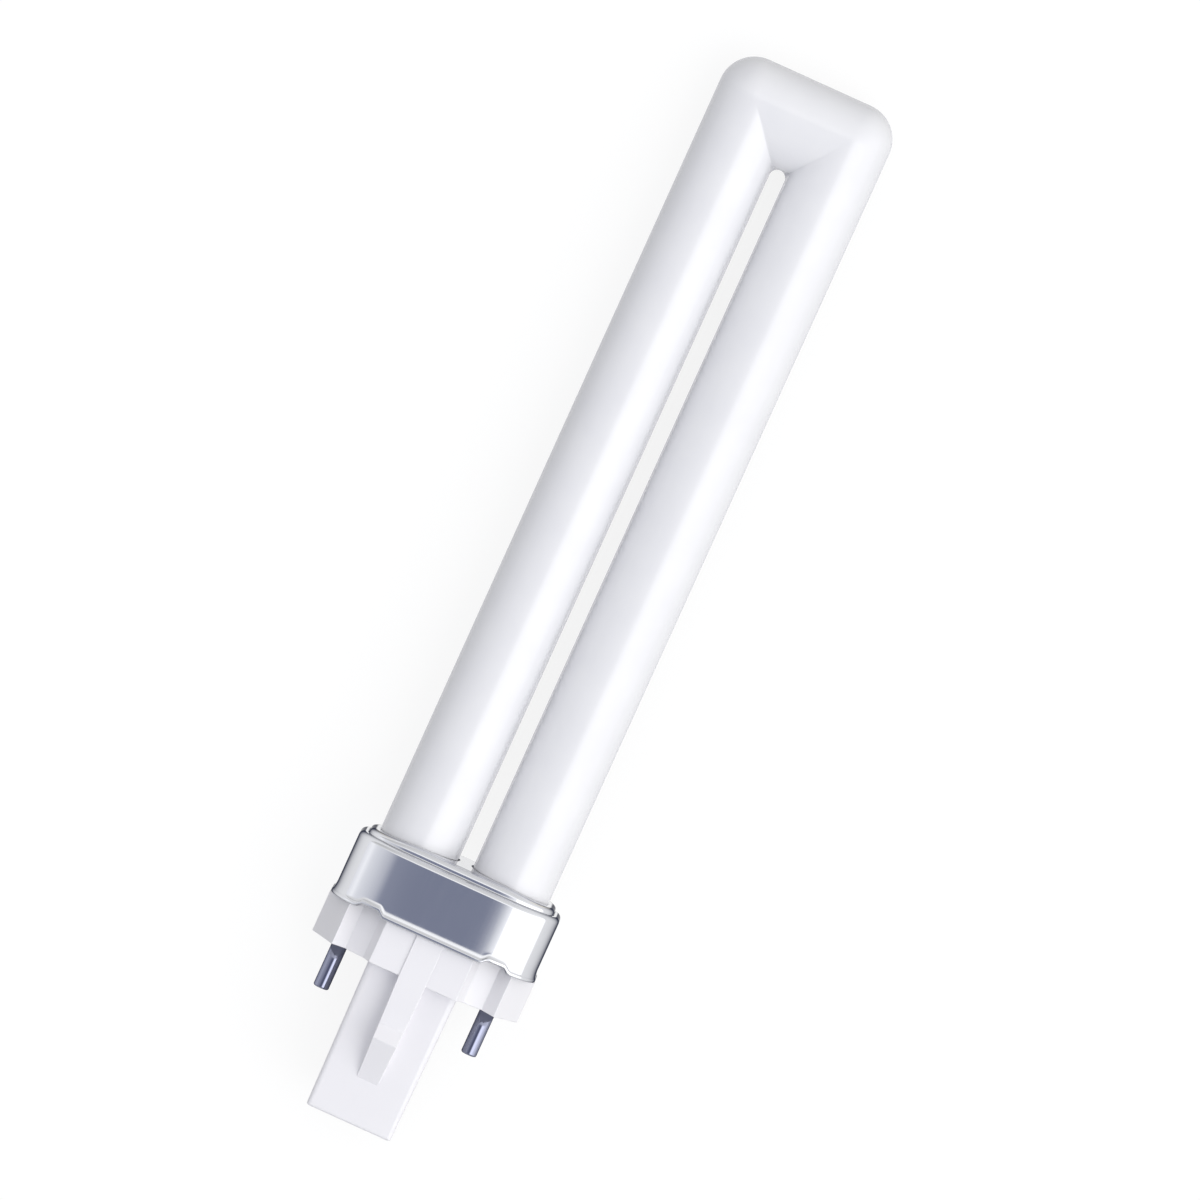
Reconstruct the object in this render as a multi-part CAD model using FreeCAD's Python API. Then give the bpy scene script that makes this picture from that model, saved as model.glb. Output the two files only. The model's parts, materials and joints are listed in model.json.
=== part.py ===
"""Two-pin U-shaped fluorescent lamp, built upright and then laid down on its broad side.

Upright axes, in millimetres: X runs through the thickness, Y across the two legs and the two
pins, Z along the lamp. Z = 0 is the underside of the wings, the face that seats on a holder.
"""
import FreeCAD, Part
import math
import os

from FreeCAD import Vector, Rotation, Placement

# The glass: two legs side by side, bridged by a squared bend
LEG_RADIUS = 5.95
LEG_PITCH = 14.2
GLASS_TOP = 139.0
BRIDGE_HEIGHT = 13.6
OUTER_CORNER_RADIUS = 5.2

# The drawn metal shell, its collar and its rolled lip
SHELL_HALF_WIDTH = 15.5
SHELL_HALF_DEPTH = 9.5
SHELL_CORNER_RADIUS = 6.75
SHELL_WALL = 0.5
SHELL_SHOULDER_CHAMFER = 0.75
LIP_HEIGHT_ABOVE_SEAT = 6.4
SHOULDER_HEIGHT_ABOVE_SEAT = 16.25
COLLAR_HEIGHT = 1.35
COLLAR_STEP_IN = 1.2
COLLAR_EDGE_CHAMFER = 0.4
LIP_OVERHANG = 0.32
LIP_BEAD_HEIGHT = 0.56
NOTCH_CENTRE = 9.7
NOTCH_FLAT_HALF = 1.1
NOTCH_RAMP = 1.2
NOTCH_RISE = 0.75

# The white moulding: wings with facets, and the hollow post
WING_OVERHANG = 0.4
WING_END_HALF_DEPTH = 1.3
RIDGE_SETBACK = 3.35
RIDGE_HALF_DEPTH = 6.9
VALLEY_SETBACK = 5.3
VALLEY_HALF_DEPTH = 5.3
STEP_POSITION = 7.7
STEP_HALF_DEPTH = 6.5
FRONT_HALF_WIDTH = 6.75
FRONT_HALF_DEPTH = 8.6
POST_LENGTH = 22.45
POST_ROOT_HALF_WIDTH = 6.85
POST_ROOT_HALF_DEPTH = 6.0
POST_DRAFT = 0.35
POST_EDGE_RADIUS = 1.0
POST_END_CHAMFER = 0.35
HOUSING_WALL = 1.4
WING_FLOOR = 2.2
SPIGOT_RISE = 4.6
FACET_RISE = 1.4
POCKET_CORNER_RADIUS = 1.5

# The latch rib on each broad side of the post
RIB_PROUD = 0.25
RIB_ROOT_HALF_WIDTH = 2.08
RIB_FOOT_HALF_WIDTH = 1.62
RIB_CATCH_START = 7.15
RIB_CREST = 9.35
RIB_CREST_RISE = 0.9
RIB_FOOT = 16.0

# The contact pins
PIN_PITCH = 23.0
PIN_RADIUS = 1.15
PIN_LENGTH = 7.1
PIN_END_CHAMFER = 0.3
PIN_NECK_RADIUS = 0.85
PIN_BORE_RADIUS = 0.6
PIN_END_THICKNESS = 1.5
PIN_RECESS = 0.15
PIN_HEAD_RADIUS = 1.55
PIN_HEAD_HEIGHT = 0.6

# What the housing holds
PINCH_HALF_DEPTH = 1.35
PINCH_BOTTOM = 4.6
PINCH_SHOULDER = 8.4
LEG_TAPER_START = 12.4
WIRE_RADIUS = 0.25
PIN_WIRE_INSET = 1.6
STARTER_WIRE_INSET = 2.4
STARTER_WIRE_STRAIGHT = 1.2
BOTTLE_RADIUS = 2.9
BOTTLE_WALL = 0.5
BOTTLE_OFFSET = -1.75
BOTTLE_LENGTH = 15.0
BOTTLE_SEAL = 2.2
BOTTLE_TIP_RADIUS = 0.9
BOTTLE_TIP_HEIGHT = 2.2
LEAD_SPACING = 2.4
LEAD_RADIUS = 0.3
LEAD_RISE = 2.5
STRIP_THICKNESS = 0.25
STRIP_WIDTH = 1.6
STRIP_FOOT_HEIGHT = 3.0
STRIP_LENGTH = 6.0
STRIP_BOW = 0.75
STRIP_TOE = 0.5
STRIP_LAP = 0.6
ELECTRODE_FOOT_HEIGHT = 3.4
CAPACITOR_WIDTH = 2.6
CAPACITOR_DEPTH = 6.6
CAPACITOR_LENGTH = 9.0
CAPACITOR_GAP = 0.15
CAPACITOR_EDGE = 0.5
CAPACITOR_LEG_SPACING = 4.4
CAPACITOR_LEG_ROOT = 0.4
CAPACITOR_LEG_LENGTH = 5.0

# Clearances between neighbours
MOULDING_CLEARANCE = 0.12
GLASS_CLEARANCE = 0.12
BORE_CLEARANCE = 0.06
PIN_HEAD_CLEARANCE = 0.05

# How far a cutting shape runs past the piece that it cuts
CUTTER_MARGIN = 2.0

HALF_PITCH = LEG_PITCH / 2
GLASS_HALF_WIDTH = HALF_PITCH + LEG_RADIUS
CREST_HEIGHT = GLASS_TOP - LEG_RADIUS
WING_HALF_WIDTH = SHELL_HALF_WIDTH + WING_OVERHANG
SPIGOT_TOP = LIP_HEIGHT_ABOVE_SEAT + SPIGOT_RISE
POST_FLOOR = HOUSING_WALL - POST_LENGTH
UP = Vector(0, 0, 1)


def rounded_plan(half_width, half_depth, radius, height):
    """Closed wire of a rectangle with rounded corners, at one height."""
    x, y, r = half_depth, half_width, radius
    lean = r * (1 - math.sqrt(0.5))
    sides = []
    for turn in range(4):
        (a, b) = (x, y) if turn % 2 == 0 else (y, x)
        spin = Rotation(UP, 90 * turn)
        lift = Vector(0, 0, height)
        start, end = Vector(a, r - b, 0), Vector(a, b - r, 0)
        middle, finish = Vector(a - lean, b - lean, 0), Vector(a - r, b, 0)
        sides.append(Part.makeLine(spin.multVec(start) + lift, spin.multVec(end) + lift))
        corner = [spin.multVec(p) + lift for p in (end, middle, finish)]
        sides.append(Part.Arc(*corner).toShape())
    return Part.Wire(sides)


def rounded_block(half_width, half_depth, radius, bottom, top):
    """Upright block over a rounded rectangle."""
    face = Part.Face(rounded_plan(half_width, half_depth, radius, bottom))
    return face.extrude(Vector(0, 0, top - bottom))


def box(half_width, half_depth, bottom, top, centre_y=0.0):
    """Upright block with square corners, centred on the middle plane."""
    corner = Vector(-half_depth, centre_y - half_width, bottom)
    return Part.makeBox(2 * half_depth, 2 * half_width, top - bottom, corner)


def across(points, half_depth):
    """Solid of an outline drawn on the Y-Z plane, carried through the thickness."""
    corners = [Vector(-half_depth, y, z) for (y, z) in points]
    face = Part.Face(Part.makePolygon(corners + corners[:1]))
    return face.extrude(Vector(2 * half_depth, 0, 0))


def upright_edges(solid):
    """Edges of a solid that rise from one level to another."""
    return [e for e in solid.Edges if abs(e.Vertexes[0].Z - e.Vertexes[-1].Z) > 0.5]


def edges_at(solid, height):
    """Edges of a solid that lie at one level."""
    return [e for e in solid.Edges
            if abs(e.BoundBox.ZMin - height) < 1e-4 and abs(e.BoundBox.ZMax - height) < 1e-4]


def glass_leg(side):
    """One straight leg, whose lower end is pinched flat between two jaws."""
    leg = Part.makeCylinder(LEG_RADIUS, CREST_HEIGHT - PINCH_BOTTOM,
                            Vector(0, side * HALF_PITCH, PINCH_BOTTOM))
    clear, low = LEG_RADIUS + CUTTER_MARGIN, PINCH_BOTTOM - CUTTER_MARGIN
    jaws = [(clear, LEG_TAPER_START), (LEG_RADIUS, LEG_TAPER_START),
            (PINCH_HALF_DEPTH, PINCH_SHOULDER), (PINCH_HALF_DEPTH, low), (clear, low)]
    width = GLASS_HALF_WIDTH + CUTTER_MARGIN
    for face_side in (-1, 1):
        corners = [Vector(face_side * x, -width, z) for (x, z) in jaws]
        jaw = Part.Face(Part.makePolygon(corners + corners[:1]))
        leg = leg.cut(jaw.extrude(Vector(0, 2 * width, 0)))
    return leg


def glass_bridge():
    """The cross piece: as round as a leg above its crest, and a deeper half oval below it."""
    start = -HALF_PITCH
    slot_end = Vector(0, start, GLASS_TOP - BRIDGE_HEIGHT)
    front, back = Vector(LEG_RADIUS, start, CREST_HEIGHT), Vector(-LEG_RADIUS, start, CREST_HEIGHT)
    crown = Part.Arc(front, Vector(0, start, GLASS_TOP), back).toShape()
    oval = Part.Ellipse(slot_end, back, Vector(0, start, CREST_HEIGHT))
    halves = [Part.ArcOfEllipse(oval, turn, turn + math.pi).toShape()
              for turn in (-math.pi / 2, math.pi / 2)]
    belly = min(halves, key=lambda half: half.BoundBox.ZMin)
    return Part.Face(Part.Wire([crown, belly])).extrude(Vector(0, LEG_PITCH, 0))


def glass_corner(side):
    """Outer corner of the bend: leg and bridge meet in a mitre, rounded off outside.

    Beyond the mitre the leg's own profile is turned a quarter circle about the centre of the
    outline's corner, so the leg, the corner and the bridge run smoothly into each other.
    """
    crest = Vector(0, side * HALF_PITCH, CREST_HEIGHT)
    leg = Part.makeCylinder(LEG_RADIUS, LEG_RADIUS, crest)
    mitre = leg.common(Part.makeCylinder(LEG_RADIUS, LEG_RADIUS, crest, Vector(0, side, 0)))
    centre_y = side * (GLASS_HALF_WIDTH - OUTER_CORNER_RADIUS)
    centre_z = GLASS_TOP - OUTER_CORNER_RADIUS
    middle_y = side * GLASS_HALF_WIDTH
    mitre = mitre.cut(box(abs(middle_y - centre_y), LEG_RADIUS, centre_z, GLASS_TOP, middle_y))
    half_depth = math.sqrt(LEG_RADIUS ** 2 - (LEG_RADIUS - OUTER_CORNER_RADIUS) ** 2)
    front, back = Vector(half_depth, centre_y, centre_z), Vector(-half_depth, centre_y, centre_z)
    round_side = Part.Arc(front, Vector(0, middle_y, centre_z), back).toShape()
    profile = Part.Face(Part.Wire([round_side, Part.makeLine(back, front)]))
    centre = Vector(0, centre_y, centre_z)
    return mitre.fuse(profile.revolve(centre, Vector(1, 0, 0), side * 90))


def make_discharge_tube():
    """The sealed tube, blown and bent from one length of glass."""
    others = [make(side) for make in (glass_leg, glass_corner) for side in (1, -1)]
    return glass_bridge().fuse(others).removeSplitter()


def lip_line(extra):
    """Points of the shell's lower edge over the width, raised at its four notches."""
    low = LIP_HEIGHT_ABOVE_SEAT + extra
    high = low + NOTCH_RISE
    reach = SHELL_HALF_WIDTH + CUTTER_MARGIN
    points = [(-reach, low)]
    for centre in (-NOTCH_CENTRE, NOTCH_CENTRE):
        points += [(centre - NOTCH_FLAT_HALF - NOTCH_RAMP, low), (centre - NOTCH_FLAT_HALF, high),
                   (centre + NOTCH_FLAT_HALF, high), (centre + NOTCH_FLAT_HALF + NOTCH_RAMP, low)]
    return points + [(reach, low)]


def make_cap_shell():
    """Drawn shell: skirt, shoulder, collar with two leg holes, and a rolled lip."""
    collar_top = SHOULDER_HEIGHT_ABOVE_SEAT + COLLAR_HEIGHT
    collar_width = SHELL_HALF_WIDTH - COLLAR_STEP_IN
    collar_depth = SHELL_HALF_DEPTH - COLLAR_STEP_IN
    collar_round = SHELL_CORNER_RADIUS - COLLAR_STEP_IN
    wall = SHELL_WALL

    skirt = rounded_block(SHELL_HALF_WIDTH, SHELL_HALF_DEPTH, SHELL_CORNER_RADIUS,
                          LIP_HEIGHT_ABOVE_SEAT, SHOULDER_HEIGHT_ABOVE_SEAT)
    skirt = skirt.makeChamfer(SHELL_SHOULDER_CHAMFER, edges_at(skirt, SHOULDER_HEIGHT_ABOVE_SEAT))
    collar = rounded_block(collar_width, collar_depth, collar_round,
                           SHOULDER_HEIGHT_ABOVE_SEAT - wall, collar_top)
    collar = collar.makeChamfer(COLLAR_EDGE_CHAMFER, edges_at(collar, collar_top))
    shell = skirt.fuse(collar)

    room = rounded_block(SHELL_HALF_WIDTH - wall, SHELL_HALF_DEPTH - wall,
                         SHELL_CORNER_RADIUS - wall,
                         LIP_HEIGHT_ABOVE_SEAT - CUTTER_MARGIN,
                         SHOULDER_HEIGHT_ABOVE_SEAT - wall)
    room = room.makeChamfer(SHELL_SHOULDER_CHAMFER,
                            edges_at(room, SHOULDER_HEIGHT_ABOVE_SEAT - wall))
    neck = rounded_block(collar_width - wall, collar_depth - wall, collar_round - wall,
                         SHOULDER_HEIGHT_ABOVE_SEAT - 2 * wall, collar_top - wall)
    holes = [Part.makeCylinder(LEG_RADIUS + GLASS_CLEARANCE, 2 * CUTTER_MARGIN,
                               Vector(0, side * HALF_PITCH, collar_top - CUTTER_MARGIN))
             for side in (-1, 1)]
    floor_line = lip_line(0)
    reach = SHELL_HALF_WIDTH + CUTTER_MARGIN
    through = SHELL_HALF_DEPTH + CUTTER_MARGIN
    below = across(floor_line + [(reach, 0), (-reach, 0)], through)
    shell = shell.cut([room, neck, below] + holes)

    ring = rounded_block(SHELL_HALF_WIDTH + LIP_OVERHANG, SHELL_HALF_DEPTH + LIP_OVERHANG,
                         SHELL_CORNER_RADIUS + LIP_OVERHANG,
                         LIP_HEIGHT_ABOVE_SEAT - CUTTER_MARGIN, SHOULDER_HEIGHT_ABOVE_SEAT)
    hollow = rounded_block(SHELL_HALF_WIDTH - wall, SHELL_HALF_DEPTH - wall,
                           SHELL_CORNER_RADIUS - wall,
                           LIP_HEIGHT_ABOVE_SEAT - 2 * CUTTER_MARGIN,
                           SHOULDER_HEIGHT_ABOVE_SEAT + CUTTER_MARGIN)
    band = across(floor_line + lip_line(LIP_BEAD_HEIGHT)[::-1], through)
    bead = ring.common(band).cut(hollow)
    return shell.fuse(bead).removeSplitter()


def wing_plan():
    """Faceted outline of the wings, mirrored about both middle planes."""
    end = WING_HALF_WIDTH
    quarter = [(FRONT_HALF_WIDTH, FRONT_HALF_DEPTH), (STEP_POSITION, STEP_HALF_DEPTH),
               (end - VALLEY_SETBACK, VALLEY_HALF_DEPTH), (end - RIDGE_SETBACK, RIDGE_HALF_DEPTH),
               (end, WING_END_HALF_DEPTH)]
    back = [(y, -x) for (y, x) in quarter[::-1]]
    half = quarter + back
    return half + [(-y, -x) for (y, x) in half]


def plan_block(points, bottom, top):
    """Upright block over an outline of (y, x) points."""
    corners = [Vector(x, y, bottom) for (y, x) in points]
    return Part.Face(Part.makePolygon(corners + corners[:1])).extrude(Vector(0, 0, top - bottom))


def latch_rib():
    """Rib on one broad side: runs down the wings and the post, swells to a crest, ramps away."""
    front = FRONT_HALF_DEPTH + RIB_PROUD
    top = LIP_HEIGHT_ABOVE_SEAT + NOTCH_RISE
    side = [(0, top), (front, top), (front, -RIB_CATCH_START),
            (front + RIB_CREST_RISE, -RIB_CREST), (POST_ROOT_HALF_DEPTH - POST_DRAFT, -RIB_FOOT),
            (0, -RIB_FOOT)]
    corners = [Vector(x, -RIB_ROOT_HALF_WIDTH, z) for (x, z) in side]
    rib = Part.Face(Part.makePolygon(corners + corners[:1]))
    rib = rib.extrude(Vector(0, 2 * RIB_ROOT_HALF_WIDTH, 0))
    taper = across([(-RIB_ROOT_HALF_WIDTH, top), (RIB_ROOT_HALF_WIDTH, top),
                    (RIB_ROOT_HALF_WIDTH, 0), (RIB_FOOT_HALF_WIDTH, -RIB_FOOT),
                    (-RIB_FOOT_HALF_WIDTH, -RIB_FOOT), (-RIB_ROOT_HALF_WIDTH, 0)],
                   front + RIB_CREST_RISE + CUTTER_MARGIN)
    return rib.common(taper)


def drafted_post(inset, bottom, top):
    """Tapered post, or the hollow inside it, between two levels."""
    wires = []
    for level in (top, bottom):
        lean = POST_DRAFT * max(0.0, -level) / POST_LENGTH + inset
        radius = max(POST_EDGE_RADIUS - inset, 0.4)
        wires.append(rounded_plan(POST_ROOT_HALF_WIDTH - lean, POST_ROOT_HALF_DEPTH - lean,
                                  radius, level))
    return Part.makeLoft(wires, True, True)


def make_base_housing():
    """White moulding: faceted wings, a spigot that fits the shell, and the hollow latch post."""
    fit = SHELL_WALL + MOULDING_CLEARANCE
    facet_top = LIP_HEIGHT_ABOVE_SEAT + FACET_RISE

    wings = plan_block(wing_plan(), 0, LIP_HEIGHT_ABOVE_SEAT)
    inside = rounded_block(SHELL_HALF_WIDTH - fit, SHELL_HALF_DEPTH - fit,
                           SHELL_CORNER_RADIUS - fit, 0, SPIGOT_TOP)
    facets = plan_block(wing_plan(), 0, facet_top).common(inside)
    spigot = rounded_block(SHELL_HALF_WIDTH - fit, SHELL_HALF_DEPTH - fit,
                           SHELL_CORNER_RADIUS - fit, facet_top, SPIGOT_TOP)

    post = drafted_post(0, -POST_LENGTH, 0)
    post = post.makeChamfer(POST_END_CHAMFER, edges_at(post, -POST_LENGTH))
    rib = latch_rib()
    other = rib.mirror(Vector(0, 0, 0), Vector(1, 0, 0))
    body = wings.fuse([facets, spigot, post, rib, other])

    post_room = drafted_post(HOUSING_WALL, POST_FLOOR, SPIGOT_TOP)
    pocket = box(PIN_PITCH / 2 + PIN_HEAD_RADIUS + PIN_HEAD_CLEARANCE,
                 VALLEY_HALF_DEPTH - HOUSING_WALL, WING_FLOOR, SPIGOT_TOP)
    pocket = pocket.makeFillet(POCKET_CORNER_RADIUS, upright_edges(pocket))
    mouth = rounded_block(SHELL_HALF_WIDTH - fit - HOUSING_WALL,
                          SHELL_HALF_DEPTH - fit - HOUSING_WALL,
                          SHELL_CORNER_RADIUS - fit - HOUSING_WALL, facet_top, SPIGOT_TOP)
    pin_holes = [Part.makeCylinder(PIN_NECK_RADIUS + BORE_CLEARANCE, 2 * WING_FLOOR,
                                   Vector(0, side * PIN_PITCH / 2, -WING_FLOOR / 2))
                 for side in (-1, 1)]
    recesses = [Part.makeCylinder(PIN_RADIUS + BORE_CLEARANCE, 2 * PIN_RECESS,
                                  Vector(0, side * PIN_PITCH / 2, -PIN_RECESS))
                for side in (-1, 1)]
    return body.cut([post_room, pocket, mouth] + pin_holes + recesses).removeSplitter()


def make_contact_pin(side):
    """Tubular pin: its shank stops at the wing, and its neck is headed over inside."""
    y = side * PIN_PITCH / 2
    shank = Part.makeCylinder(PIN_RADIUS, PIN_LENGTH, Vector(0, y, -PIN_LENGTH))
    shank = shank.makeChamfer(PIN_END_CHAMFER, edges_at(shank, -PIN_LENGTH))
    neck = Part.makeCylinder(PIN_NECK_RADIUS, WING_FLOOR, Vector(0, y, 0))
    head = Part.makeCylinder(PIN_HEAD_RADIUS, PIN_HEAD_HEIGHT, Vector(0, y, WING_FLOOR))
    bore = Part.makeCylinder(PIN_BORE_RADIUS, PIN_LENGTH + WING_FLOOR + PIN_HEAD_HEIGHT,
                             Vector(0, y, PIN_END_THICKNESS - PIN_LENGTH))
    return shank.fuse([neck, head]).cut(bore).removeSplitter()


def make_cement():
    """Set cement that holds both legs in the top of the shell."""
    gap = SHELL_WALL + MOULDING_CLEARANCE
    lower_top = SHOULDER_HEIGHT_ABOVE_SEAT - SHELL_WALL - SHELL_SHOULDER_CHAMFER
    upper_top = SHOULDER_HEIGHT_ABOVE_SEAT + COLLAR_HEIGHT - SHELL_WALL
    lower = rounded_block(SHELL_HALF_WIDTH - gap, SHELL_HALF_DEPTH - gap,
                          SHELL_CORNER_RADIUS - gap, SPIGOT_TOP, lower_top)
    upper = rounded_block(SHELL_HALF_WIDTH - COLLAR_STEP_IN - gap,
                          SHELL_HALF_DEPTH - COLLAR_STEP_IN - gap,
                          SHELL_CORNER_RADIUS - COLLAR_STEP_IN - gap, SPIGOT_TOP, upper_top)
    holes = [Part.makeCylinder(LEG_RADIUS + GLASS_CLEARANCE, upper_top,
                               Vector(0, side * HALF_PITCH, 0)) for side in (-1, 1)]
    return lower.fuse(upper).cut(holes).removeSplitter()


def bent_wire(start, end, straight_from):
    """Round wire that leaves one point downwards, cranks across and runs straight to its end."""
    points = [start, Vector(start.x, start.y, start.z - 2 * WIRE_RADIUS),
              Vector(end.x, end.y, straight_from), end]
    ring = Part.Wire([Part.makeCircle(WIRE_RADIUS, start, UP)])
    return Part.makePolygon(points).makePipeShell([ring], True, False, 1)


def make_pin_wire(side):
    """Lead from a pinched leg end into the bore of its pin."""
    pin = side * PIN_PITCH / 2
    foot = PIN_END_THICKNESS + 2 * WIRE_RADIUS - PIN_LENGTH
    return bent_wire(Vector(0, pin - side * PIN_WIRE_INSET, PINCH_BOTTOM), Vector(0, pin, foot),
                     WING_FLOOR + PIN_HEAD_HEIGHT)


def lead_top():
    """Level where the starter's own leads begin, above the bottle's seal."""
    return POST_FLOOR + BOTTLE_LENGTH + LEAD_RISE


def lead_y(side):
    """Position of one lead of the starter across the post."""
    return BOTTLE_OFFSET + side * LEAD_SPACING / 2


def make_starter_wire(side):
    """Lead from a pinched leg end down into the post, to the starter."""
    return bent_wire(Vector(0, side * (HALF_PITCH - STARTER_WIRE_INSET), PINCH_BOTTOM),
                     Vector(0, lead_y(side), lead_top()), lead_top() + STARTER_WIRE_STRAIGHT)


def make_starter_bottle():
    """Small sealed glass envelope of the glow switch: a tube drawn to a point, with two leads
    through its seal."""
    base, seal = POST_FLOOR, POST_FLOOR + BOTTLE_LENGTH
    neck = base + BOTTLE_TIP_HEIGHT
    profile = [(0, base), (BOTTLE_TIP_RADIUS, base), (BOTTLE_RADIUS, neck),
               (BOTTLE_RADIUS, seal), (0, seal)]
    corners = [Vector(r, BOTTLE_OFFSET, z) for (r, z) in profile]
    face = Part.Face(Part.makePolygon(corners + corners[:1]))
    outside = face.revolve(Vector(0, BOTTLE_OFFSET, 0), UP, 360)
    inside = Part.makeCylinder(BOTTLE_RADIUS - BOTTLE_WALL, seal - BOTTLE_SEAL - neck,
                               Vector(0, BOTTLE_OFFSET, neck))
    holes = [Part.makeCylinder(LEAD_RADIUS + BORE_CLEARANCE, BOTTLE_SEAL + CUTTER_MARGIN,
                               Vector(0, lead_y(side), seal - BOTTLE_SEAL - CUTTER_MARGIN / 2))
             for side in (-1, 1)]
    return outside.cut([inside] + holes)


def starter_lead(side, bottom):
    """One stiff lead of the starter, down to a level inside the bottle."""
    return Part.makeCylinder(LEAD_RADIUS, lead_top() - bottom, Vector(0, lead_y(side), bottom))


def make_bimetal():
    """Lead that carries the bent bimetal strip, which closes towards the other electrode."""
    foot = POST_FLOOR + STRIP_FOOT_HEIGHT
    root = foot + STRIP_LENGTH
    x, y = -STRIP_WIDTH / 2, lead_y(-1)
    line = [Vector(x, y, root), Vector(x, y - STRIP_BOW, (root + foot) / 2),
            Vector(x, y + STRIP_TOE, foot)]
    bend = Part.Arc(*line).toShape()
    rear = Part.Arc(*[point + Vector(0, STRIP_THICKNESS, 0) for point in line]).toShape()
    ends = [Part.makeLine(rear.Vertexes[0].Point, bend.Vertexes[0].Point),
            Part.makeLine(bend.Vertexes[-1].Point, rear.Vertexes[-1].Point)]
    outline = Part.Wire(Part.__sortEdges__([bend, rear] + ends))
    strip = Part.Face(outline).extrude(Vector(STRIP_WIDTH, 0, 0))
    return starter_lead(-1, root - STRIP_LAP).fuse(strip).removeSplitter()


def make_electrode():
    """Straight lead that ends as the fixed electrode."""
    return starter_lead(1, POST_FLOOR + ELECTRODE_FOOT_HEIGHT)


def make_capacitor():
    """Small dipped capacitor beside the bottle, with two wire legs turned up."""
    y = BOTTLE_OFFSET + BOTTLE_RADIUS + CAPACITOR_GAP + CAPACITOR_WIDTH / 2
    body = box(CAPACITOR_WIDTH / 2, CAPACITOR_DEPTH / 2, POST_FLOOR,
               POST_FLOOR + CAPACITOR_LENGTH, y)
    body = body.makeChamfer(CAPACITOR_EDGE, body.Edges)
    root = POST_FLOOR + CAPACITOR_LENGTH - CAPACITOR_LEG_ROOT
    legs = [Part.makeCylinder(WIRE_RADIUS, CAPACITOR_LEG_LENGTH,
                              Vector(side * CAPACITOR_LEG_SPACING / 2, y, root))
            for side in (-1, 1)]
    return body.fuse(legs).removeSplitter()


def rest_placement():
    """Lay the lamp along +X, tip first, and lean it so lip and glass tip touch the floor."""
    lip_depth = SHELL_HALF_DEPTH + LIP_OVERHANG
    crest_from_lip = CREST_HEIGHT - LIP_HEIGHT_ABOVE_SEAT - LIP_BEAD_HEIGHT / 2
    apart = math.hypot(crest_from_lip, lip_depth)
    lean = math.atan2(lip_depth, crest_from_lip) - math.asin(LEG_RADIUS / apart)
    return Rotation(Vector(0, 1, 0), 90 + math.degrees(lean))


parts = {
    "discharge_tube": make_discharge_tube(),
    "cap_shell": make_cap_shell(),
    "base_housing": make_base_housing(),
    "capping_cement": make_cement(),
    "starter_bottle": make_starter_bottle(),
    "starter_bimetal": make_bimetal(),
    "starter_electrode": make_electrode(),
    "interference_capacitor": make_capacitor(),
}
for name, side in (("left", 1), ("right", -1)):
    parts["contact_pin_" + name] = make_contact_pin(side)
    parts["pin_wire_" + name] = make_pin_wire(side)
    parts["starter_wire_" + name] = make_starter_wire(side)

turn = Placement(Vector(0, 0, 0), rest_placement())
laid = {name: shape.copy() for name, shape in parts.items()}
for shape in laid.values():
    shape.Placement = turn.multiply(shape.Placement)
whole = Part.makeCompound(list(laid.values())).optimalBoundingBox(False)
shift = Vector(-(whole.XMin + whole.XMax) / 2, -(whole.YMin + whole.YMax) / 2, -whole.ZMin)

os.makedirs("parts", exist_ok=True)
for name, shape in laid.items():
    shape.translate(shift)
    shape.exportStep("parts/" + name + ".step")
    print(name, round(shape.Volume, 2), len(shape.Solids), shape.isValid())
print("size", round(whole.XLength, 3), round(whole.YLength, 3), round(whole.ZLength, 3))
print("moved by", round(shift.x, 6), round(shift.y, 6), round(shift.z, 6))
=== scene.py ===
# %% [markdown]
# # A U-shaped plug-in fluorescent lamp
#
# The lamp is a white glass tube bent into a U, held in a drawn metal cap, over a white moulded base with
# two contact pins and a latching post. It lies on its broad side, as such a lamp comes to rest, and the
# camera looks down on it.

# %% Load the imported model
import json
import math

import bpy
import numpy as np
from mathutils import Matrix, Vector


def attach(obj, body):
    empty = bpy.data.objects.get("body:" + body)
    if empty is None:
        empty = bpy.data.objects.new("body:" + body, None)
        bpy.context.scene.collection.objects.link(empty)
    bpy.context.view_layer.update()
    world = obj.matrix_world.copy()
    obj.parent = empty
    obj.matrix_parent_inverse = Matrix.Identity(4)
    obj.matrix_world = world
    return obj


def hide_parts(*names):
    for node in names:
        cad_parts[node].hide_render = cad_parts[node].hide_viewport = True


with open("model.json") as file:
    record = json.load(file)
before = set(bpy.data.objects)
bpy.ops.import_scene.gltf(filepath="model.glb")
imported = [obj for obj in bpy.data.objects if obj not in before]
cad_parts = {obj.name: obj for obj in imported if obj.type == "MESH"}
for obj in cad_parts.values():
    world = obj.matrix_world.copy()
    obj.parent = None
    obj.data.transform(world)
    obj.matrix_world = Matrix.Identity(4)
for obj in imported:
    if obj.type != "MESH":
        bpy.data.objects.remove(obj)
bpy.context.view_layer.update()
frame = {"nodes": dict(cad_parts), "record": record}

# %% [markdown]
# ## Lamp coordinates
#
# Every visible piece is easiest to describe on the upright lamp, in millimetres: side to side across the
# two legs, thickness from the broad face, and height along the lamp from the underside of the wings.
# The record gives the place and the direction of the seating face, which is all it takes to lay those
# points down where the CAD solids are.

# %% From lamp coordinates to the frame
MM = 0.001
mounts = {mount["name"]: mount for mount in frame["record"]["mounts"]}
SEAT_POINT_SIDE = 8.6
DOWN = np.array(mounts["seating_face"]["axis"], float)
ALONG = -DOWN / np.linalg.norm(DOWN)
SIDE = np.array([0.0, 1.0, 0.0])
FRONT = np.cross(ALONG, SIDE)
SEAT = np.array(mounts["seating_face"]["pos_m"], float) - SIDE * SEAT_POINT_SIDE * MM


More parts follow.
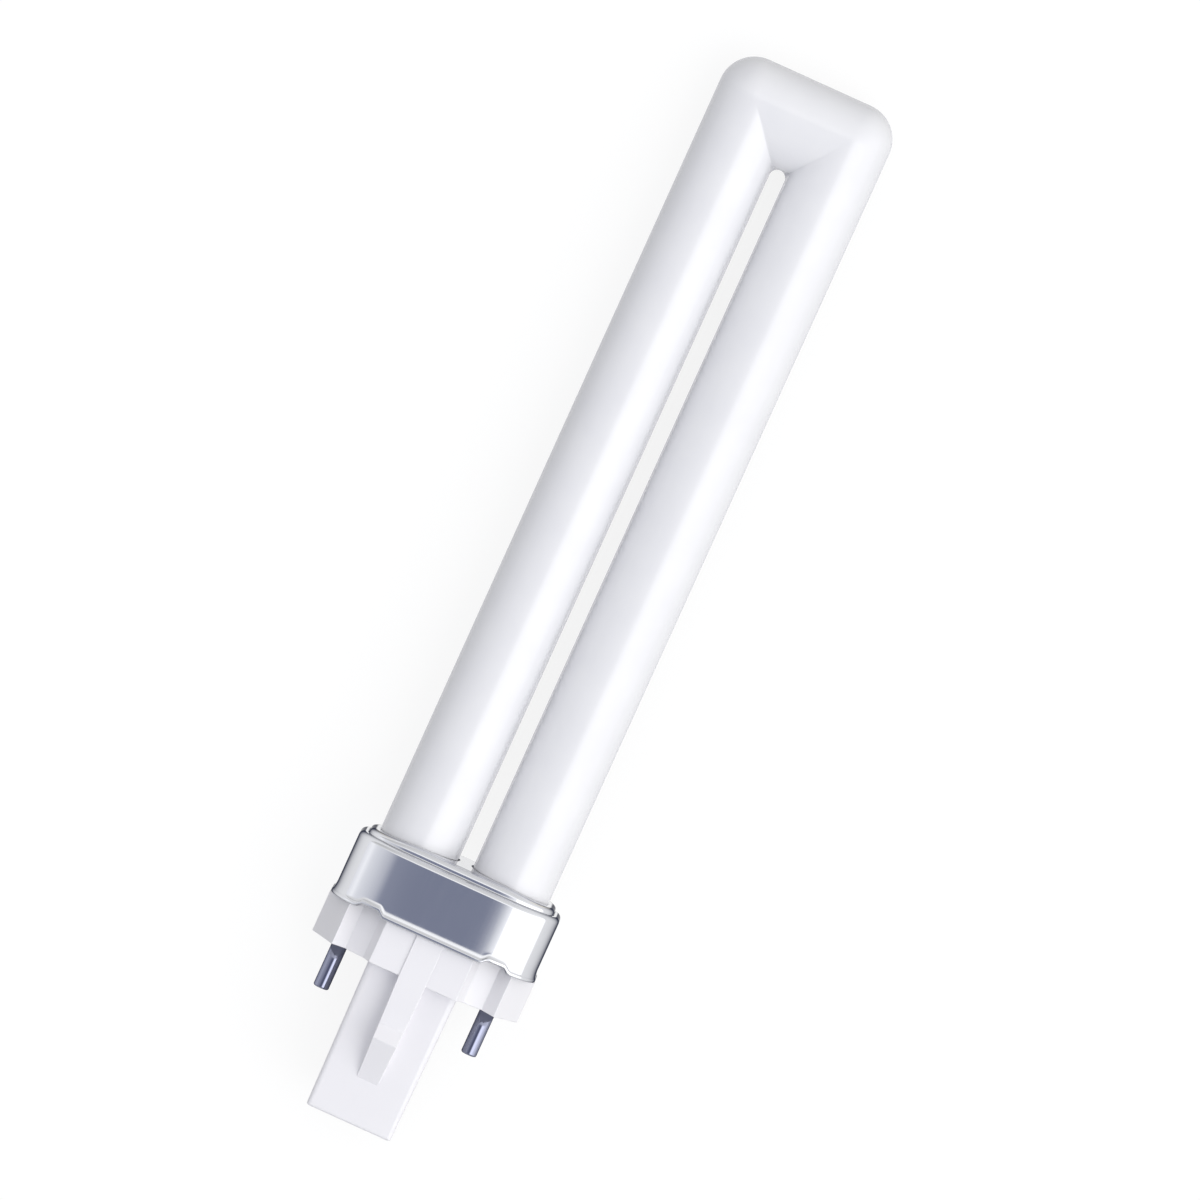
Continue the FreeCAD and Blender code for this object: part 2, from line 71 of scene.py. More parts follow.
def lay(side, front, height):
    """Frame points in metres: the seat's centre, plus side, front and height millimetres along
    the lamp's own three directions."""
    side, front, height = np.broadcast_arrays(side, front, height)
    return (SEAT + MM * (side[..., None] * SIDE + front[..., None] * FRONT
                         + height[..., None] * ALONG))


print("lean in degrees", math.degrees(math.asin(-ALONG[2])), "front", FRONT.round(4))

# %% [markdown]
# ## Surfaces as grids
#
# A skin is a grid of points: rows run along the piece and columns run round it. Neighbouring points make
# the quads, so the faces come from index arithmetic on whole arrays. A piece may be made of several
# closed skins, and each one is turned outwards by the sign of the volume that it encloses.

# %% Grid skins and pieces


def skin(grid, round_closed=True, end_caps=True):
    """Points and faces of a grid: quads join each row to the next, the last column joins the first
    where the skin is closed round, and the first and last rows are filled with one face each."""
    rows, columns = grid.shape[:2]
    across = columns if round_closed else columns - 1
    r, c = np.meshgrid(np.arange(rows - 1), np.arange(across), indexing="ij")
    right = (c + 1) % columns
    quads = np.stack([r * columns + c, r * columns + right,
                      (r + 1) * columns + right, (r + 1) * columns + c], -1).reshape(-1, 4)
    faces = quads.tolist()
    if end_caps:
        faces.append(list(range(columns))[::-1])
        faces.append([(rows - 1) * columns + k for k in range(columns)])
    return grid.reshape(-1, 3), faces


def enclosed_volume(points, faces):
    """Signed volume: the sum over fan triangles of the triple product of their corners."""
    corners = [(f[0], f[k], f[k + 1]) for f in faces for k in range(1, len(f) - 1)]
    a, b, c = (points[np.array(corners)[:, k]] for k in range(3))
    return float(np.einsum("ij,ij->i", a, np.cross(b, c)).sum() / 6)


def make_piece(name, skins, replaced, outwards=True):
    """One object of one or more skins, in place in the frame, that stands for CAD nodes."""
    points, faces, start = [], [], 0
    for skin_points, skin_faces in skins:
        if outwards and enclosed_volume(skin_points - skin_points.mean(0), skin_faces) < 0:
            skin_faces = [f[::-1] for f in skin_faces]
        points.append(skin_points)
        faces += [[k + start for k in f] for f in skin_faces]
        start += len(skin_points)
    mesh = bpy.data.meshes.new(name)
    mesh.from_pydata(np.concatenate(points).tolist(), [], faces)
    mesh.shade_smooth()
    piece = bpy.data.objects.new(name, mesh)
    bpy.context.scene.collection.objects.link(piece)
    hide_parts(*replaced)
    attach(piece, "root")
    print(name, len(mesh.vertices), "points,", len(mesh.polygons), "faces")
    return piece


def keep_flats_flat(piece, width=0.0):
    """Rounds a piece's edges by width millimetres where asked, then weights normals by area."""
    if width > 0:
        bevel = piece.modifiers.new("edge_radius", "BEVEL")
        bevel.width = width * MM
        bevel.segments = 2
        bevel.limit_method = "ANGLE"
        bevel.angle_limit = math.radians(20)
    weighted = piece.modifiers.new("flat_faces", "WEIGHTED_NORMAL")
    weighted.weight = 100
    weighted.keep_sharp = False


# %% [markdown]
# ## The glass tube
#
# A real tube is drawn, cut, softened and bent over a former, then blown into a mould that squares the
# bend. A curve with a bevel would give an even round elbow, so the bend is a height field instead. Its
# points are fanned about the small arc that ends the slot, so that rows of faces follow the creases, and
# the thickness at each point is that of the leg or of the cross piece, whichever is greater there. Where
# the two meet, the glass folds in a mitre that dies away at the crests. Inside the cap each leg is
# pinched flat, as it is when the lead wires are sealed in.

# %% Sizes of the glass
LEG_RADIUS = 5.95
HALF_PITCH = 7.1
GLASS_TOP = 139.0
BRIDGE_HEIGHT = 13.6
OUTER_CORNER = 5.2
CREASE_BLEND = 0.12
CREASE_FAN = (40, 60)
SLOT_ROLL = 0.9
LEG_START = 12.4
PINCH_TOP = 8.4
PINCH_BOTTOM = 4.6
PINCH_HALF_WIDTH = 3.9
PINCH_HALF_DEPTH = 1.35
TUBE_COLUMNS = 128
SMALL_COLUMNS = 48
SLOT_HALF = HALF_PITCH - LEG_RADIUS
FAN_HEIGHT = GLASS_TOP - BRIDGE_HEIGHT - SLOT_HALF
CREST_HEIGHT = GLASS_TOP - LEG_RADIUS
BELLY_REACH = BRIDGE_HEIGHT - LEG_RADIUS
print("slot", round(2 * SLOT_HALF, 2), "mm wide, up to", FAN_HEIGHT + SLOT_HALF)

# %% Height of the bend


def reach_of(angle, side_reach, top_reach):
    """Distance along a ray from a point to a rectangle about it with rounded outer corners:
    the nearer of the side and top lines, or the corner circle where the ray meets that."""
    r = OUTER_CORNER
    c, s = np.abs(np.cos(angle)), np.sin(angle)
    reach = np.minimum(side_reach / np.maximum(c, 1e-9), top_reach / np.maximum(s, 1e-9))
    toward = (side_reach - r) * c + (top_reach - r) * s
    apart = (side_reach - r) ** 2 + (top_reach - r) ** 2 - r ** 2
    round_reach = toward + np.sqrt(np.maximum(toward ** 2 - apart, 0))
    at_corner = (reach * c > side_reach - r) & (reach * s > top_reach - r)
    return np.where(at_corner, round_reach, reach)


def half_round(offset, reach):
    """Height of an oval of leg thickness at an offset from its crest, and zero beyond it."""
    return LEG_RADIUS * np.sqrt(np.clip(1 - (offset / reach) ** 2, 0, 1))


def softly_greater(a, b, blend):
    """The greater of two heights, rounded over a blend width: the mean of their sum and of the
    root of their squared difference plus the squared blend."""
    return (a + b + np.sqrt((a - b) ** 2 + blend ** 2)) / 2


def bend_height(side, height):
    """Half thickness of the bend at a point of its outline. Between the crests it is the greater
    of leg, cross piece and a small roll round the slot's end. Beyond both crests it falls from
    crest to outline as the half round of the ray's own length."""
    across, over = np.abs(side) - HALF_PITCH, height - CREST_HEIGHT
    leg = half_round(across, LEG_RADIUS)
    cross = half_round(over, np.where(over > 0, LEG_RADIUS, BELLY_REACH))
    from_arc = np.hypot(side, np.maximum(height - FAN_HEIGHT, 0)) - SLOT_HALF
    rolled = np.sqrt(np.clip(SLOT_ROLL ** 2 - (SLOT_ROLL - from_arc) ** 2, 0, None))
    rim = np.where(from_arc < SLOT_ROLL, rolled, 0)
    crest = np.maximum(leg, cross) / LEG_RADIUS
    fold = softly_greater(leg, cross, CREASE_BLEND * (1 - crest ** 8))
    inner = np.maximum(fold, rim)
    ray = np.arctan2(np.maximum(over, 0), np.maximum(across, 1e-9))
    share = np.hypot(across, over) / reach_of(ray, LEG_RADIUS, LEG_RADIUS)
    corner = half_round(share, 1.0)
    outer = (across > 0) & (over > 0)
    beside = (across > 0) & (over <= 0)
    above = (across <= 0) & (over > 0)
    return np.select([outer, beside, above], [corner, leg, cross], inner)


print("half thickness on the slot's end", float(bend_height(0.0, FAN_HEIGHT + SLOT_HALF).round(2)))

# %% Tube with its pinched ends


def tube_sections():
    """Centre, half length and slope of every row, from one pinched end over to the other. Rows of
    the fan lie closest where the creases run."""
    leg = np.concatenate([np.linspace(LEG_START, FAN_HEIGHT - 2, 36),
                          [FAN_HEIGHT - 1.0, FAN_HEIGHT - 0.4]])
    first, last = CREASE_FAN
    quarter = np.radians(np.concatenate([np.linspace(0, first, 40, endpoint=False),
                                         np.linspace(first, last, 60, endpoint=False),
                                         np.linspace(last, 90, 26)]))
    angle = np.concatenate([quarter, np.pi - quarter[-2::-1]])
    far = reach_of(angle, HALF_PITCH + LEG_RADIUS, GLASS_TOP - FAN_HEIGHT)
    middle, half = (SLOT_HALF + far) / 2, (far - SLOT_HALF) / 2
    side = np.concatenate([np.full(leg.size, HALF_PITCH), middle * np.cos(angle),
                           np.full(leg.size, -HALF_PITCH)])
    height = np.concatenate([leg, FAN_HEIGHT + middle * np.sin(angle), leg[::-1]])
    turn = np.concatenate([np.zeros(leg.size), angle, np.full(leg.size, np.pi)])
    halves = np.concatenate([np.full(leg.size, LEG_RADIUS), half, np.full(leg.size, LEG_RADIUS)])
    return side, height, turn, halves


def tube_grid():
    """Points round each row: half length times cosine along its own slope, and through the
    thickness the round of the leg or the height of the bend."""
    side, height, turn, half = (a[:, None] for a in tube_sections())
    around = np.linspace(0, 2 * np.pi, TUBE_COLUMNS, endpoint=False)[None, :]
    out = half * np.cos(around)
    y, z = side + out * np.cos(turn), height + out * np.sin(turn)
    depth = np.where(height < FAN_HEIGHT, half_round(np.abs(y) - HALF_PITCH, LEG_RADIUS),
                     bend_height(y, z))
    return lay(y, depth * np.sign(np.sin(around).round(9)), z)


def pinch_grid(side):
    """A leg's lower end: ovals that ease from round to a flat pinch, by a cosine of the height."""
    height = np.concatenate([np.linspace(LEG_START, PINCH_TOP, 14), [6.0, PINCH_BOTTOM]])[:, None]
    share = np.clip((LEG_START - height) / (LEG_START - PINCH_TOP), 0, 1)
    ease = (1 + np.cos(np.pi * share)) / 2
    around = np.linspace(0, 2 * np.pi, SMALL_COLUMNS, endpoint=False)[None, :]
    wide = PINCH_HALF_WIDTH + (LEG_RADIUS - PINCH_HALF_WIDTH) * ease
    deep = PINCH_HALF_DEPTH + (LEG_RADIUS - PINCH_HALF_DEPTH) * ease
    return lay(side * HALF_PITCH + wide * np.cos(around), deep * np.sin(around), height + 0 * around)


tube = make_piece("glass_tube", [skin(tube_grid()), skin(pinch_grid(1)), skin(pinch_grid(-1))],
                  ["discharge_tube"])

# %% [markdown]
# ## The metal cap
#
# The cap is one drawn cup. A bevelled box would round all its edges alike, so the wall is a single
# profile instead, which gives each edge its own radius: from inside the lip, round the rolled edge, up
# the skirt, over the shoulder and the collar. It is carried round a rectangle with rounded corners, and
# the lip lifts at four notches, two on each broad side. Deep drawing seldom leaves a truly flat side, so
# each broad side is crowned by a few tenths of a millimetre, and the collar sinks a little to its ends.

# %% Plan outlines


def rounded_plan(half_side, half_front, radius, per_corner, along_side, along_front):
    """Points and outward normals of a rectangle with rounded corners: straight runs sampled
    evenly, and corners as quarter circles."""
    points, normals = [], []
    straight = [(along_front, half_front - radius), (along_side, half_side - radius)]
    for quarter in range(4):
        count, run = straight[quarter % 2]
        a, b = (half_side, half_front) if quarter % 2 == 0 else (half_front, half_side)
        turn = quarter * np.pi / 2
        c, s = np.cos(turn), np.sin(turn)
        step = np.linspace(-run, run, count + 1)[:-1]
        line = np.stack([np.full(count, a), step], -1)
        line_normal = np.tile([1.0, 0.0], (count, 1))
        bend = np.linspace(0, np.pi / 2, per_corner + 1)[:-1]
        corner_normal = np.stack([np.cos(bend), np.sin(bend)], -1)
        corner = np.array([a - radius, b - radius]) + radius * corner_normal
        spin = np.array([[c, s], [-s, c]])
        points.append(np.concatenate([line, corner]) @ spin)
        normals.append(np.concatenate([line_normal, corner_normal]) @ spin)
    return np.concatenate(points), np.concatenate(normals)


def arc(centre, radius, start, stop, count):
    """Points of a circular arc in a profile, from one angle in degrees to another."""
    t = np.radians(np.linspace(start, stop, count))
    return np.stack([centre[0] + radius * np.cos(t), centre[1] + radius * np.sin(t)], -1)


# %% Wall profile of the cap
LIP = 6.4
SHOULDER = 16.25
COLLAR = 1.35
WALL = 0.5
LIP_RADIUS = 0.22
LIP_REACH = 0.1
LIP_STRAIGHT = 0.14
FLARE_START = 0.62
FLARE_TOP = 1.9
FLARE_RATE = 0.096
SHOULDER_RADIUS = 0.85
STEP_IN = 1.2
STEP_FILLET = 0.15
COLLAR_RADIUS = 1.0
TOP_INSET = 2.5


def wall_profile():
    """Offsets out from the plan, with heights: a lip rolled on arcs, a flare that closes by the
    square of the height left to it, the plain skirt, and round shoulder and collar edges."""
    inside = [[-WALL, LIP + 3.0], [-WALL, LIP + 1.4]]
    roll = [arc((LIP_RADIUS - WALL, LIP + LIP_RADIUS), LIP_RADIUS, 180, 270, 5),
            arc((LIP_REACH, LIP + LIP_RADIUS), LIP_RADIUS, 270, 360, 6),
            arc((LIP_REACH, LIP + LIP_RADIUS + LIP_STRAIGHT), LIP_RADIUS, 0, 60, 5)]
    rise = np.linspace(FLARE_START, FLARE_TOP, 8)
    flare = np.stack([FLARE_RATE * (FLARE_TOP - rise) ** 2, LIP + rise], -1)
    skirt = [[0.0, LIP + 2.3], [0.0, LIP + 3.5], [0.0, LIP + 5.0], [0.0, SHOULDER - 1.4]]
    shoulder = arc((-SHOULDER_RADIUS, SHOULDER - SHOULDER_RADIUS), SHOULDER_RADIUS, 0, 88, 12)
    step = arc((STEP_FILLET - STEP_IN, SHOULDER + STEP_FILLET), STEP_FILLET, 265, 180, 5)
    edge = arc((-STEP_IN - COLLAR_RADIUS, SHOULDER + COLLAR - COLLAR_RADIUS), COLLAR_RADIUS, 0, 84, 12)
    return np.concatenate([inside, *roll, flare, skirt, shoulder, step, edge,
                           [[-TOP_INSET, SHOULDER + COLLAR]]])


cap_profile = wall_profile()
print("cap profile points", len(cap_profile))

# %% Plan, crown and notches of the cap
SHELL_HALF_WIDTH = 15.5
SHELL_HALF_DEPTH = 9.5
SHELL_CORNER = 6.75
CROWN_REACH = 8.75
CROWN_SHARE = 0.025
NOTCH_CENTRE = 9.7
NOTCH_FLAT_HALF = 1.1
NOTCH_RAMP = 1.2
NOTCH_RISE = 0.75
NOTCH_FADE = 2.4
BEAD_HEIGHT = 0.6
COLLAR_SINK = 0.45
LEG_HOLE = LEG_RADIUS + 0.12

plan, plan_normal = rounded_plan(SHELL_HALF_WIDTH, SHELL_HALF_DEPTH, SHELL_CORNER, 28, 120, 14)
# each broad side falls back with the fifth power of the distance from its middle, then levels out
crown = (np.abs(plan[:, 0]) / CROWN_REACH) ** 5
plan[:, 1] *= 1 - CROWN_SHARE * crown / np.sqrt(1 + (crown / 2) ** 2)


def notch_lift(side):
    """How far the lip rises: the full rise on a notch's flat, then down its ramps by a smooth
    step of the distance from that flat."""
    share = np.clip((np.abs(np.abs(side) - NOTCH_CENTRE) - NOTCH_FLAT_HALF) / NOTCH_RAMP, 0, 1)
    return NOTCH_RISE * (1 - share ** 2 * (3 - 2 * share))


def collar_drop(side):
    """How far the collar's top sinks, by a smooth step from 6 to 14 millimetres off the middle."""
    share = np.clip((np.abs(side) - 6.0) / 8.0, 0, 1)
    return COLLAR_SINK * share ** 2 * (3 - 2 * share)


depth_range = (round(float(2 * plan[:, 1].max()), 2), 2 * SHELL_HALF_DEPTH)
print("plan points", len(plan), "depth in mm", depth_range)

# %% Cap shell


def cap_wall_grid():
    """The plan moved out along its normals by the profile's offset, at the profile's height,
    with the notches fading out above the lip's bead and the collar sinking to its ends."""
    offset, height = cap_profile[:, 0][:, None], cap_profile[:, 1][:, None]
    side = plan[None, :, 0] + offset * plan_normal[None, :, 0]
    front = plan[None, :, 1] + offset * plan_normal[None, :, 1]
    fade = np.clip(1 - (height - LIP - BEAD_HEIGHT) / NOTCH_FADE, 0, 1) ** 1.5
    on_broad_side = np.clip((np.abs(plan_normal[None, :, 1]) - 0.2) / 0.3, 0, 1)
    lift = notch_lift(plan[None, :, 0]) * fade * on_broad_side
    sink = collar_drop(side) * np.clip((height - SHOULDER - 0.2) / (COLLAR - 0.2), 0, 1)
    return lay(side, front, height + lift - sink)


def collar_top_grid(direction):
    """Half of the collar's flat top: rows from the wall's last ring in to the hole round one leg.
    Each ring point on this leg's side goes straight to the hole point that lies in its own
    direction, and the hole's edge turns down by the thickness of the sheet."""
    ring = plan + cap_profile[-1, 0] * plan_normal
    ring = ring[np.argsort(np.arctan2(ring[:, 1], direction * ring[:, 0]))]
    ring = ring[direction * ring[:, 0] >= -1e-9]
    seam = np.linspace(ring[-1, 1], ring[0, 1], 60)[1:-1]
    ring = np.concatenate([ring, np.stack([0 * seam, seam], -1)])
    middle = np.array([direction * HALF_PITCH, 0.0])
    toward = ring - middle
    hole = middle + LEG_HOLE * toward / np.linalg.norm(toward, axis=1)[:, None]
    share = np.linspace(0, 1, 6)[:, None, None]
    flat = ring[None] + share * (hole - ring)[None]
    side = np.concatenate([flat[..., 0], hole[None, :, 0], hole[None, :, 0]])
    front = np.concatenate([flat[..., 1], hole[None, :, 1], hole[None, :, 1]])
    drop = np.array([0, 0, 0, 0, 0, 0, 0.04, WALL])[:, None]
    return lay(side, front, SHOULDER + COLLAR - collar_drop(side) - drop)


wall_points, wall_faces = skin(cap_wall_grid(), end_caps=False)
tops = [skin(collar_top_grid(d), end_caps=False) for d in (1, -1)]
tops[0] = (tops[0][0], [f[::-1] for f in tops[0][1]])
cap = make_piece("metal_cap", [(wall_points, wall_faces)] + tops,
                 ["cap_shell"], outwards=False)

# %% [markdown]
# ## The white base
#
# The base is an injection moulding. Its wings are a faceted outline pulled straight down, the post is a
# drafted block with rounded corners, and each broad side carries a rib that swells into a catch. A
# boolean would join them but cut their faces up, so each is a closed skin that reaches into the next. A
# bevel gives every edge the small radius that a mould leaves.

# %% Wings of the base
# a quarter of the outline: front block, step, valley, ridge and end
WING_QUARTER = np.array([[6.75, 8.6], [7.7, 6.5], [10.6, 5.3], [12.55, 6.9], [15.9, 1.3]])
WING_TOP = 6.2
SPIGOT_START = 6.0
SPIGOT_TOP = 7.6
SPIGOT_HALF_WIDTH = 14.8


def mirrored(quarter):
    """A quarter outline of (side, front) points, mirrored about both middle lines."""
    half = np.concatenate([quarter, quarter[::-1] * [1, -1]])
    return np.concatenate([half, -half])


def prism(outline, levels):
    """An outline pulled through a few levels."""
    level = np.array(levels, float)[:, None]
    return skin(lay(outline[None, :, 0] + 0 * level, outline[None, :, 1] + 0 * level,
                    level + 0 * outline[None, :, 0]))


def clipped_quarter(limit):
    """The wing's quarter outline with its last facet cut off at a distance from the middle."""
    ridge, end = WING_QUARTER[-2], WING_QUARTER[-1]
    share = (limit - ridge[0]) / (end[0] - ridge[0])
    return np.concatenate([WING_QUARTER[:-1], [ridge + share * (end - ridge)]])


wings = prism(mirrored(WING_QUARTER), [0.0, WING_TOP])
spigot = prism(mirrored(clipped_quarter(SPIGOT_HALF_WIDTH)), [SPIGOT_START, SPIGOT_TOP])
print("wing outline has", len(mirrored(WING_QUARTER)), "corners")

# %% Post and latch ribs
POST_LENGTH = 22.45
POST_HALF_WIDTH = 6.85
POST_HALF_DEPTH = 6.0
POST_EDGE = 1.0
POST_DRAFT = 0.35
RIB_HALF_WIDTH = 2.08
RIB_FOOT_HALF_WIDTH = 1.62
RIB_CATCH = 7.15
RIB_CREST = 9.35
RIB_FOOT = 16.0
RIB_REACH = 8.85
RIB_CREST_REACH = 9.75
RIB_FOOT_REACH = 5.65
RIB_ROOT_REACH = 4.0
MOULD_EDGE = 0.14


def post_grid():
    """Rows of rounded rectangles that narrow by the draft, then step in at the end's edge."""
    end = -POST_LENGTH
    height = np.array([1.0, 0.0, -7.0, -14.0, end + 0.4, end + 0.25, end + 0.1, end, end])
    edge_inset = np.array([0.0, 0.0, 0.0, 0.0, 0.0, 0.03, 0.12, 0.33, 0.6])
    inset = edge_inset + POST_DRAFT * np.clip(-height, 0, None) / POST_LENGTH
    outline, normal = rounded_plan(POST_HALF_WIDTH, POST_HALF_DEPTH, POST_EDGE, 8, 8, 8)
    side = outline[None, :, 0] - inset[:, None] * normal[None, :, 0]
    front = outline[None, :, 1] - inset[:, None] * normal[None, :, 1]
    return lay(side, front, height[:, None] + 0 * side)


def rib_skin(direction):
    """One latch rib: its side view pulled across the width, which narrows down the post."""
    top = 6.95
    view = np.array([[RIB_ROOT_REACH, top], [RIB_REACH, top], [RIB_REACH, -0.01],
                     [RIB_REACH, -RIB_CATCH], [RIB_CREST_REACH, -RIB_CREST],
                     [RIB_FOOT_REACH, -RIB_FOOT], [RIB_ROOT_REACH, -RIB_FOOT]])
    down = np.clip(-view[:, 1] / RIB_FOOT, 0, 1)
    half_width = RIB_HALF_WIDTH + (RIB_FOOT_HALF_WIDTH - RIB_HALF_WIDTH) * down
    edges = np.array([-1.0, 1.0])[:, None]
    return skin(lay(edges * half_width[None, :], direction * view[None, :, 0] + 0 * edges,
                    view[None, :, 1] + 0 * edges))


base = make_piece("white_base", [wings, spigot, skin(post_grid()), rib_skin(1), rib_skin(-1)],
                  ["base_housing"])
keep_flats_flat(base, MOULD_EDGE)

# %% [markdown]
# ## The contact pins
#
# Each pin is a tube of brass, nickel plated, closed and rounded at its end, and headed over inside the
# base. A plain cylinder would lack the neck and the head, so a profile is turned round the pin's axis.

# %% Contact pins
PIN_PITCH = 23.0
PIN_RADIUS = 1.15
PIN_LENGTH = 7.1
PIN_EDGE = 0.3
NECK_RADIUS = 0.85
HEAD_RADIUS = 1.5
HEAD_BOTTOM = 2.2
HEAD_TOP = 2.75
SHANK_TOP = 0.12
BORE_RADIUS = 0.62

headed_end = [[BORE_RADIUS, HEAD_TOP], [HEAD_RADIUS, HEAD_TOP], [HEAD_RADIUS, HEAD_BOTTOM],
              [NECK_RADIUS, HEAD_BOTTOM], [NECK_RADIUS, SHANK_TOP]]
shank = [[PIN_RADIUS, SHANK_TOP], [PIN_RADIUS, -3.0]]
rounded_end = arc((PIN_RADIUS - PIN_EDGE, PIN_EDGE - PIN_LENGTH), PIN_EDGE, 0, -90, 8)
closed_end = [[0.4, -PIN_LENGTH], [0.02, -PIN_LENGTH]]
pin_profile = np.concatenate([headed_end, shank, rounded_end, closed_end])
print("pin profile points", len(pin_profile))


def pin_grid(side):
    """The profile turned round: radius times cosine and sine, at the profile's height."""
    radius, height = pin_profile[:, 0][:, None], pin_profile[:, 1][:, None]
    around = np.linspace(0, 2 * np.pi, SMALL_COLUMNS, endpoint=False)[None, :]
    return lay(side * PIN_PITCH / 2 + radius * np.cos(around), radius * np.sin(around),
               height + 0 * around)


pins = []
for name, direction in (("left", 1), ("right", -1)):
    pin = make_piece("pin_" + name, [skin(pin_grid(direction))],
                     ["contact_pin_" + name])
    keep_flats_flat(pin)
    pins.append(pin)

# %% [markdown]
# ## Materials
#
# Each finish starts from the real material and from how its surface was made. Colours are written as
# sRGB hex and turned to linear light, because shaders work in linear light.

# %% Material helpers


def linear(hex_colour):
    """sRGB hex to linear RGBA: below 0.04045 divide by 12.92, else ((c + 0.055) / 1.055) ^ 2.4."""
    c = np.array([int(hex_colour[k:k + 2], 16) / 255 for k in (1, 3, 5)])
    c = np.where(c <= 0.04045, c / 12.92, ((c + 0.055) / 1.055) ** 2.4)
    return (*c.tolist(), 1.0)


def add(tree, kind, settings=None, **inputs):
    """Adds a node, sets its properties, and sets or links its inputs by name or number."""
    node = tree.nodes.new(kind)
    for key, value in (settings or {}).items():
        setattr(node, key, value)
    for key, value in inputs.items():
        place = int(key[1:]) if key[0] == "n" and key[1:].isdigit() else key.replace("_", " ")
        socket = node.inputs[place]
        if isinstance(value, bpy.types.NodeSocket):
            tree.links.new(value, socket)
        else:
            socket.default_value = value
    return node


def new_material(name):
    """An empty material with its output, ready for a shader."""
    material = bpy.data.materials.new(name)
    material.use_nodes = True
    material.node_tree.nodes.clear()
    output = material.node_tree.nodes.new("ShaderNodeOutputMaterial")
    return material, material.node_tree, output


def wear(piece, material):
    """Gives a piece one material."""
    piece.data.materials.clear()
    piece.data.materials.append(material)
    print(piece.name, "wears", material.name)


# %% [markdown]
# ### Phosphor coated glass
#
# Soda-lime glass, drawn smooth, with a matt white powder baked on its inner wall. The powder gives an
# even, faintly cool white that is cloudy when looked at closely, and the glass over it gives a clear,
# sharp gloss. Rays could be traced through a real glass wall, but that is slow and grainy, so a matt
# base under a smooth clear coat stands in for it.

# %% Phosphor coated glass


def phosphor_glass():
    """Matt powder seen through clear glass: a rough white base under a smooth coat, with a painted grey
    shade at the rim.
    """
    material, tree, output = new_material("phosphor_coated_glass")
    place = add(tree, "ShaderNodeTexCoord").outputs["Object"]
    # clouds in the powder, about 6 mm across
    cloud = add(tree, "ShaderNodeTexNoise", Vector=place, Scale=1 / 0.006, Detail=3.0, Roughness=0.5)
    tone = add(tree, "ShaderNodeMix", {"data_type": "RGBA"}, n0=cloud.outputs["Fac"],
               n6=linear("#E5E5E9"), n7=linear("#ECECEE"))
    # ripples of the drawing, about 33 mm long and 3 mm across
    draw = add(tree, "ShaderNodeMapping", n0=place, Scale=(30.0, 320.0, 320.0))
    ripple = add(tree, "ShaderNodeTexNoise", Vector=draw.outputs[0], Scale=1.0, Detail=1.0)
    bump = add(tree, "ShaderNodeBump", Strength=0.08, Distance=0.0002,
               Height=ripple.outputs["Fac"])
    # painted shade: at a slant the colour turns greyer, which draws a grey outline round the tube
    slant = add(tree, "ShaderNodeLayerWeight", Blend=0.5)
    rim = add(tree, "ShaderNodeMapRange", {"interpolation_type": "SMOOTHSTEP"},
              Value=slant.outputs["Facing"], n1=0.70, n2=0.95)
    tone = add(tree, "ShaderNodeMix", {"data_type": "RGBA"}, n0=rim.outputs[0],
               n6=tone.outputs[2], n7=linear("#BFC0CD"))
    shader = add(tree, "ShaderNodeBsdfPrincipled", Base_Color=tone.outputs[2], Roughness=0.55,
                 IOR=1.5, Coat_Weight=1.0, Coat_Roughness=0.04, Coat_IOR=1.5,
                 Coat_Normal=bump.outputs[0])
    shader.inputs["Specular IOR Level"].default_value = 0.0
    tree.links.new(shader.outputs[0], output.inputs["Surface"])
    return material


wear(tube, phosphor_glass())

# %% [markdown]
# ### Drawn aluminium
#
# A thin cup pressed from bright sheet. Drawing stretches the surface along the pull, which leaves fine
# lines up the skirt and a satin sheen. In a studio its edges mirror the dark room, which draws a thin dark
# outline round it. This tent has no dark room, so a dark reflection is painted into the colour at grazing
# angles instead, on all but the flat top. That painted reflection is stronger than bare aluminium would
# show.

# %% Drawn aluminium


def drawn_aluminium():
    """Bright sheet with a satin sheen that varies in fine lines along the pull, and a dark reflection
    painted at grazing angles everywhere but on the flat top.
    """
    material, tree, output = new_material("drawn_aluminium")
    place = add(tree, "ShaderNodeTexCoord").outputs["Object"]
    # streaks 0.2 mm apart across the pull and 8 mm long, which only vary the sheen
    pull = add(tree, "ShaderNodeMapping", n0=place,
               Scale=(1 / 0.008, 1 / 0.0002, 1 / 0.0002))
    streaks = add(tree, "ShaderNodeTexNoise", Vector=pull.outputs[0], Scale=1.0, Detail=2.0)
    sheen = add(tree, "ShaderNodeMapRange", Value=streaks.outputs["Fac"], n1=0.3, n2=0.7,
                n3=0.085, n4=0.13)
    # a faint haze in patches about 6 mm across
    haze = add(tree, "ShaderNodeTexNoise", Vector=place, Scale=1 / 0.006, Detail=2.0)
    tone = add(tree, "ShaderNodeMix", {"data_type": "RGBA"}, n0=haze.outputs["Fac"],
               n6=linear("#D8D9DD"), n7=linear("#DDDEE2"))
    shader = add(tree, "ShaderNodeBsdfPrincipled", Base_Color=tone.outputs[2], Metallic=1.0,
                 Roughness=sheen.outputs[0])
    # painted reflection: a dark edge colour at grazing angles stands for a dark room mirrored in the drawn
    # bends and the skirt, and the flat top has none
    facing = add(tree, "ShaderNodeSeparateXYZ", Vector=add(tree, "ShaderNodeTexCoord").outputs["Normal"])
    unpainted_top = add(tree, "ShaderNodeMapRange", Value=facing.outputs["X"], n1=0.97, n2=0.995)
    edge = add(tree, "ShaderNodeMix", {"data_type": "RGBA"}, n0=unpainted_top.outputs[0],
               n6=linear("#262C42"), n7=(1.0, 1.0, 1.0, 1.0))
    tree.links.new(edge.outputs[2], shader.inputs["Specular Tint"])
    tree.links.new(shader.outputs[0], output.inputs["Surface"])
    return material


wear(cap, drawn_aluminium())

